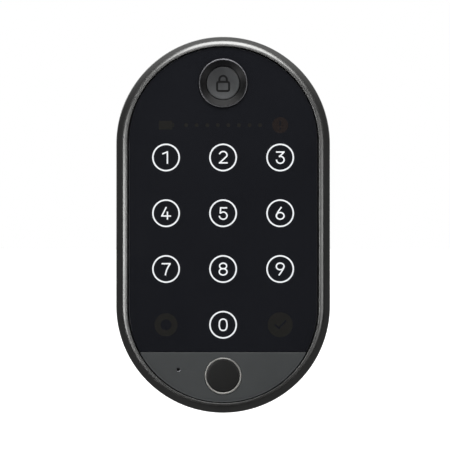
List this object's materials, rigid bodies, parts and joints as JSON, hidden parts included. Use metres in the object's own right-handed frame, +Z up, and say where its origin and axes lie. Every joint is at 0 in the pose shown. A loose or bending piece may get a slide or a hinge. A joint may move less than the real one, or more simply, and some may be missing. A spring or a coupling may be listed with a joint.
{
  "type": "keypad smart lock exterior unit",
  "caption": "Slim pill-shaped door keypad: ringed touch digits behind black glass, round wake button, fingerprint sensor, bore collar and tailpiece.",
  "frame": {"origin": "centre of the door's bore on the door's outside face", "axes": "+X to the right seen from outside, +Y into the door, +Z up"},
  "size_m": [0.066, 0.067, 0.116],
  "materials": {
    "dark_coating": "smooth satin to gloss black-bronze coating",
    "cover_glass": "polished, printed black behind",
    "trim_coating": "fine satin grey coating",
    "polished_ring": "polished, turned",
    "sensor_face": "satin dark glaze",
    "button_face": "fine satin, anodised grey",
    "plate_steel": "zinc plated, pressed",
    "screw_steel": "plated machine screws",
    "black_screw": "black oxide",
    "spring_steel": "drawn wire and strip",
    "blade_steel": "rolled strip, deburred",
    "turned_brass": "turned",
    "gold_contact": "gold flashed",
    "black_rubber": "matt moulded",
    "foam_tape": "black foam with adhesive",
    "membrane": "white breathable film",
    "white_film": "matt diffusing film",
    "baffle_plastic": "black moulded",
    "holder_plastic": "black moulded, glass filled",
    "collar_plastic": "dark moulded, glass filled",
    "block_plastic": "black moulded",
    "green_board": "glass-fibre board with solder mask",
    "chip_plastic": "moulded packages",
    "led_plastic": "LED packages",
    "connector_plastic": "natural nylon",
    "tinned_steel": "tinned sheet",
    "amber_film": "polyimide film"
  },
  "bodies": {
    "unit": {"housing": "dark_coating", "keypad_glass": "cover_glass", "glass_tape": "foam_tape", "sensor_trim": "trim_coating", "trim_tape": "foam_tape", "vent_membrane": "membrane", "sensor_ring": "polished_ring", "fingerprint_sensor": "sensor_face", "sensor_gasket": "black_rubber", "sensor_board": "green_board", "sensor_holder": "holder_plastic", "sensor_holder_screws": "black_screw", "sensor_flex": "amber_film", "flex_socket": "connector_plastic", "button_bezel": "dark_coating", "bezel_gasket": "black_rubber", "bezel_nut": "turned_brass", "button_spring": "spring_steel", "switch_body": "holder_plastic", "diffuser_sheet": "white_film", "light_baffle": "baffle_plastic", "keypad_board": "green_board", "key_leds": "led_plastic", "icon_leds": "led_plastic", "touch_chips": "chip_plastic", "keypad_board_screws": "black_screw", "board_plug": "connector_plastic", "main_board": "green_board", "board_socket": "connector_plastic", "main_chips": "chip_plastic", "radio_can": "tinned_steel", "buzzer": "holder_plastic", "board_standoffs": "turned_brass", "main_board_screws": "screw_steel", "cable_header": "connector_plastic", "back_plate": "plate_steel", "back_plate_screws": "screw_steel", "door_gasket": "black_rubber", "bore_collar": "collar_plastic", "collar_screws": "screw_steel", "mounting_posts": "screw_steel", "cable_grommet": "black_rubber", "hub_bush": "turned_brass", "hub_washer": "plate_steel", "contact_block": "block_plastic", "power_contacts": "gold_contact"},
    "button": {"wake_button": "button_face", "button_o_ring": "black_rubber", "button_clip": "spring_steel"},
    "plunger": {"switch_plunger": "connector_plastic"},
    "tailpiece_group": {"tailpiece_hub": "blade_steel", "tailpiece": "blade_steel", "hub_pin": "spring_steel", "hub_clip": "spring_steel"}
  },
  "joints": [
    {"name": "button_press", "type": "slide", "parent": "unit", "child": "button", "axis": [0, 1, 0], "range_m": [0, 0.0006], "stiffness_N_per_m": 2500, "springref_m": -0.0004, "deforming": ["button_spring"]},
    {"name": "switch_press", "type": "slide", "parent": "unit", "child": "plunger", "axis": [0, 1, 0], "range_m": [0, 0.0006]},
    {"name": "tailpiece_turn", "type": "hinge", "parent": "unit", "child": "tailpiece_group", "pos_m": [0, 0, 0], "axis": [0, 1, 0], "continuous": true}
  ],
  "couplings": [
    {"joint": "switch_press", "follows": "button_press", "ratio": 1}
  ]
}
